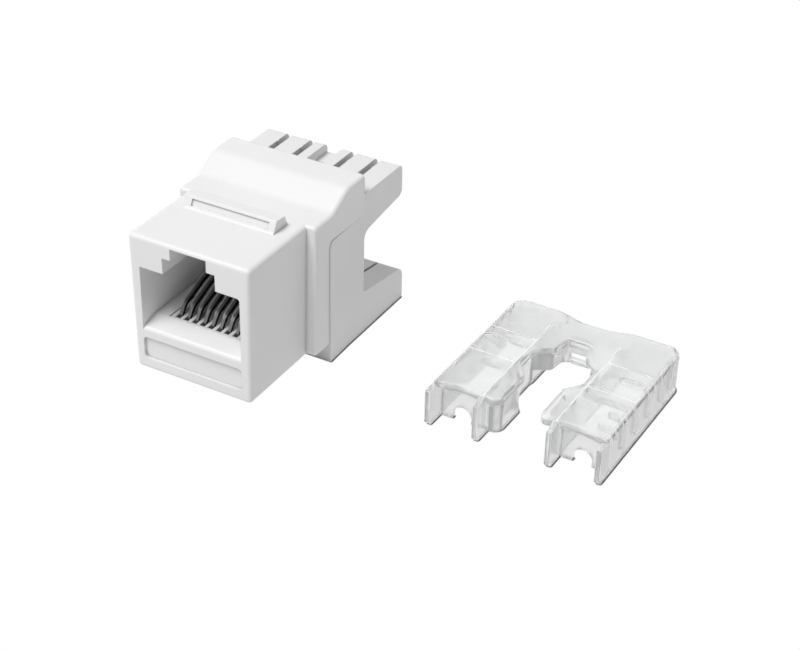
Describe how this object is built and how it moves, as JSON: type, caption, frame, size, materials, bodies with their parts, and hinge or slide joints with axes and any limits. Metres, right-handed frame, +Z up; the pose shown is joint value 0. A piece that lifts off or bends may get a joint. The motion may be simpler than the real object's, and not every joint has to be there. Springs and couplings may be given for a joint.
{
  "type": "keystone jack",
  "caption": "Modular keystone jack with sprung contacts and a slotted rear block with upper and lower arms, and its clear wire cap lying beside it.",
  "frame": {"origin": "centre of the front face, which is the centre of the panel opening that the jack fills", "axes": "+X to the right as seen from the front, +Y to the rear along the plug's path, +Z up"},
  "size_m": [0.0518, 0.0292, 0.0197],
  "materials": {
    "housing_white": "fine satin moulded white thermoplastic",
    "rear_white": "satin moulded white thermoplastic",
    "carrier_white": "satin moulded white thermoplastic",
    "board_green": "lacquered glass-fibre board",
    "contact_metal": "plated phosphor bronze, smooth",
    "terminal_metal": "tin-plated phosphor bronze, smooth",
    "clear_cap": "clear polished polycarbonate"
  },
  "bodies": {
    "housing": {"front_housing": "housing_white", "contact_carrier": "carrier_white", "circuit_board": "board_green", "rear_block": "rear_white", "upper_terminal_1": "terminal_metal", "upper_terminal_2": "terminal_metal", "upper_terminal_3": "terminal_metal", "upper_terminal_4": "terminal_metal", "lower_terminal_1": "terminal_metal", "lower_terminal_2": "terminal_metal", "lower_terminal_3": "terminal_metal", "lower_terminal_4": "terminal_metal", "wire_cap": "clear_cap"},
    "contact_1": {"contact_1": "contact_metal"},
    "contact_2": {"contact_2": "contact_metal"},
    "contact_3": {"contact_3": "contact_metal"},
    "contact_4": {"contact_4": "contact_metal"},
    "contact_5": {"contact_5": "contact_metal"},
    "contact_6": {"contact_6": "contact_metal"},
    "contact_7": {"contact_7": "contact_metal"},
    "contact_8": {"contact_8": "contact_metal"}
  },
  "joints": [
    {"name": "contact_1_spring", "type": "hinge", "parent": "housing", "child": "contact_1", "pos_m": [-0.00356, 0.0128, 0.0004], "axis": [1, 0, 0], "range_deg": [0, 6], "stiffness_Nm_per_rad": 0.08},
    {"name": "contact_2_spring", "type": "hinge", "parent": "housing", "child": "contact_2", "pos_m": [-0.00254, 0.0128, 0.0004], "axis": [1, 0, 0], "range_deg": [0, 6], "stiffness_Nm_per_rad": 0.08},
    {"name": "contact_3_spring", "type": "hinge", "parent": "housing", "child": "contact_3", "pos_m": [-0.00152, 0.0128, 0.0004], "axis": [1, 0, 0], "range_deg": [0, 6], "stiffness_Nm_per_rad": 0.08},
    {"name": "contact_4_spring", "type": "hinge", "parent": "housing", "child": "contact_4", "pos_m": [-0.00051, 0.0128, 0.0004], "axis": [1, 0, 0], "range_deg": [0, 6], "stiffness_Nm_per_rad": 0.08},
    {"name": "contact_5_spring", "type": "hinge", "parent": "housing", "child": "contact_5", "pos_m": [0.00051, 0.0128, 0.0004], "axis": [1, 0, 0], "range_deg": [0, 6], "stiffness_Nm_per_rad": 0.08},
    {"name": "contact_6_spring", "type": "hinge", "parent": "housing", "child": "contact_6", "pos_m": [0.00152, 0.0128, 0.0004], "axis": [1, 0, 0], "range_deg": [0, 6], "stiffness_Nm_per_rad": 0.08},
    {"name": "contact_7_spring", "type": "hinge", "parent": "housing", "child": "contact_7", "pos_m": [0.00254, 0.0128, 0.0004], "axis": [1, 0, 0], "range_deg": [0, 6], "stiffness_Nm_per_rad": 0.08},
    {"name": "contact_8_spring", "type": "hinge", "parent": "housing", "child": "contact_8", "pos_m": [0.00356, 0.0128, 0.0004], "axis": [1, 0, 0], "range_deg": [0, 6], "stiffness_Nm_per_rad": 0.08}
  ]
}
